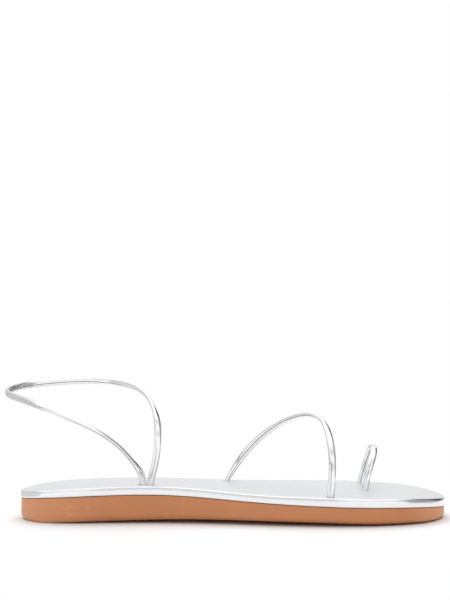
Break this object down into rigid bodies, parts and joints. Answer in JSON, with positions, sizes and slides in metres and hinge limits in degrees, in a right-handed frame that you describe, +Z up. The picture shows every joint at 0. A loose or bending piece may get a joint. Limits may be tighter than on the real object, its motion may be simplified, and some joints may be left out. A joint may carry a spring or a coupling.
{
  "type": "slingback sandal",
  "caption": "Flat open sandal: moulded sole, padded footbed with rolled edge, slim strap over the instep, loop for the big toe and loop round the ankle.",
  "frame": {"origin": "centre of the sandal's box, on the floor", "axes": "+X from heel to toe, +Y towards the inner (big toe) side, +Z up"},
  "size_m": [0.262, 0.0862, 0.0821],
  "materials": {
    "sole": "smooth matt, caramel tan",
    "footbed": "silver foil leather, satin on top and glossy on the rolled edge",
    "strap": "silver foil leather, glossy"
  },
  "bodies": {
    "root": {"outsole": "sole", "footbed": "footbed", "instep_strap": "strap", "toe_ring": "strap", "ankle_sling": "strap"}
  },
  "joints": []
}
